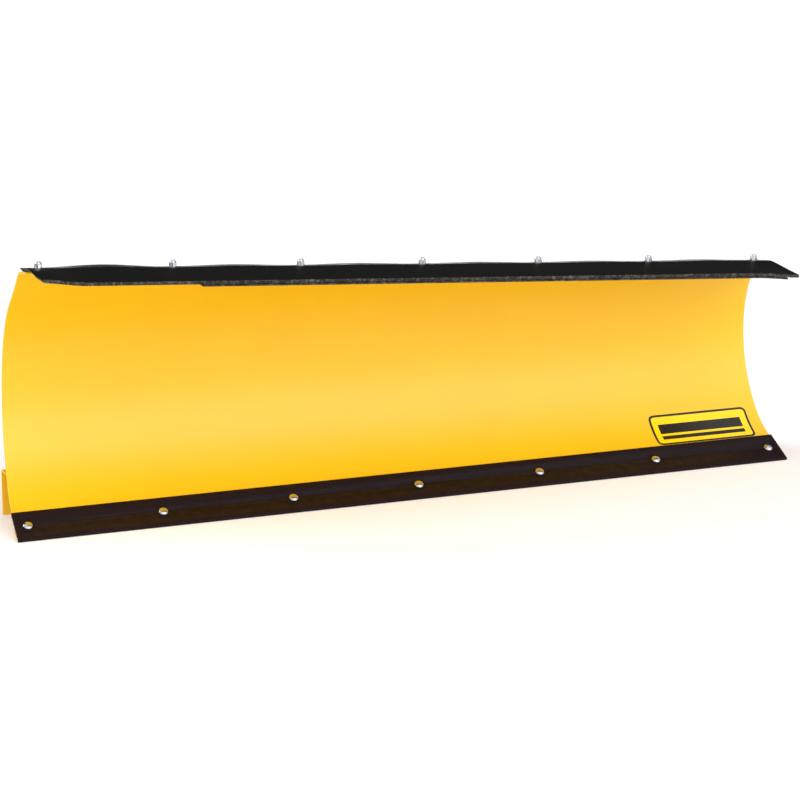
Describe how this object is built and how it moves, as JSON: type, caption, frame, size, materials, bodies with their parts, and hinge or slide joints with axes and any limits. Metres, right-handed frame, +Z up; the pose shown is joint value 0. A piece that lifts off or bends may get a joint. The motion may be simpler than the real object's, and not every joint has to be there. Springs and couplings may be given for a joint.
{
  "type": "atv plow blade",
  "caption": "Curved, tapered steel snow plow blade with a bolted wear bar, rubber top flap, rear ribs, clevis ears and height-adjustable skid shoes.",
  "frame": {"origin": "on the floor, below the middle of the whole assembly's bounding box", "axes": "+Z up, +X along the blade's length from the tall end to the short end, -Y the way the working face looks"},
  "size_m": [1.5256, 0.4351, 0.4991],
  "materials": {
    "yellow_powder_coat": "satin powder coat",
    "black_paint": "satin black paint on hot-rolled bar",
    "black_foot_paint": "satin black paint on a pressed steel dish",
    "black_rubber": "semi-gloss sheet rubber with a cut, fibrous edge",
    "zinc_plated_steel": "bright zinc plating"
  },
  "bodies": {
    "blade": {"bar_bolt_1": "zinc_plated_steel", "bar_bolt_2": "zinc_plated_steel", "bar_bolt_3": "zinc_plated_steel", "bar_bolt_4": "zinc_plated_steel", "bar_bolt_5": "zinc_plated_steel", "bar_bolt_6": "zinc_plated_steel", "bar_bolt_7": "zinc_plated_steel", "bar_nut_1": "zinc_plated_steel", "bar_nut_2": "zinc_plated_steel", "bar_nut_3": "zinc_plated_steel", "bar_nut_4": "zinc_plated_steel", "bar_nut_5": "zinc_plated_steel", "bar_nut_6": "zinc_plated_steel", "bar_nut_7": "zinc_plated_steel", "centre_plate": "yellow_powder_coat", "flap_bolt_1": "zinc_plated_steel", "flap_bolt_2": "zinc_plated_steel", "flap_bolt_3": "zinc_plated_steel", "flap_bolt_4": "zinc_plated_steel", "flap_bolt_5": "zinc_plated_steel", "flap_bolt_6": "zinc_plated_steel", "flap_bolt_7": "zinc_plated_steel", "flap_nut_1": "zinc_plated_steel", "flap_nut_2": "zinc_plated_steel", "flap_nut_3": "zinc_plated_steel", "flap_nut_4": "zinc_plated_steel", "flap_nut_5": "zinc_plated_steel", "flap_nut_6": "zinc_plated_steel", "flap_nut_7": "zinc_plated_steel", "flap_root": "black_rubber", "hinge_ear_1": "yellow_powder_coat", "hinge_ear_2": "yellow_powder_coat", "hinge_ear_3": "yellow_powder_coat", "hinge_ear_4": "yellow_powder_coat", "moldboard": "yellow_powder_coat", "rear_angle": "yellow_powder_coat", "rib_1": "yellow_powder_coat", "rib_2": "yellow_powder_coat", "rib_3": "yellow_powder_coat", "rib_4": "yellow_powder_coat", "skid_boss_left": "yellow_powder_coat", "skid_boss_right": "yellow_powder_coat", "skid_bracket_left": "yellow_powder_coat", "skid_bracket_right": "yellow_powder_coat", "skid_sleeve_left": "yellow_powder_coat", "skid_sleeve_right": "yellow_powder_coat", "upper_stiffener": "yellow_powder_coat", "wear_bar": "black_paint"},
    "flap": {"flap_free": "black_rubber", "flap_backing": "black_rubber"},
    "skid_left": {"skid_post_left": "zinc_plated_steel", "skid_foot_left": "black_foot_paint"},
    "skid_right": {"skid_post_right": "zinc_plated_steel", "skid_foot_right": "black_foot_paint"},
    "lock_left": {"lock_bolt_left": "zinc_plated_steel"},
    "lock_right": {"lock_bolt_right": "zinc_plated_steel"}
  },
  "joints": [
    {"name": "flap_bend", "type": "hinge", "parent": "blade", "child": "flap", "pos_m": [0.00588, -0.04204, 0.43387], "axis": [0.9924, 0.0991, -0.0729], "range_deg": [-40, 55], "stiffness_Nm_per_rad": 14, "springref_deg": -2.86},
    {"name": "skid_left_height", "type": "slide", "parent": "blade", "child": "skid_left", "axis": [0, 0, 1], "range_m": [-0.035, 0.012]},
    {"name": "skid_right_height", "type": "slide", "parent": "blade", "child": "skid_right", "axis": [0, 0, 1], "range_m": [-0.035, 0.012]},
    {"name": "lock_left_turn", "type": "hinge", "parent": "blade", "child": "lock_left", "pos_m": [-0.47, 0.1735, 0.069], "axis": [0, 1, 0], "range_deg": [0, 360]},
    {"name": "lock_right_turn", "type": "hinge", "parent": "blade", "child": "lock_right", "pos_m": [0.47, 0.1735, 0.069], "axis": [0, 1, 0], "range_deg": [0, 360]}
  ]
}
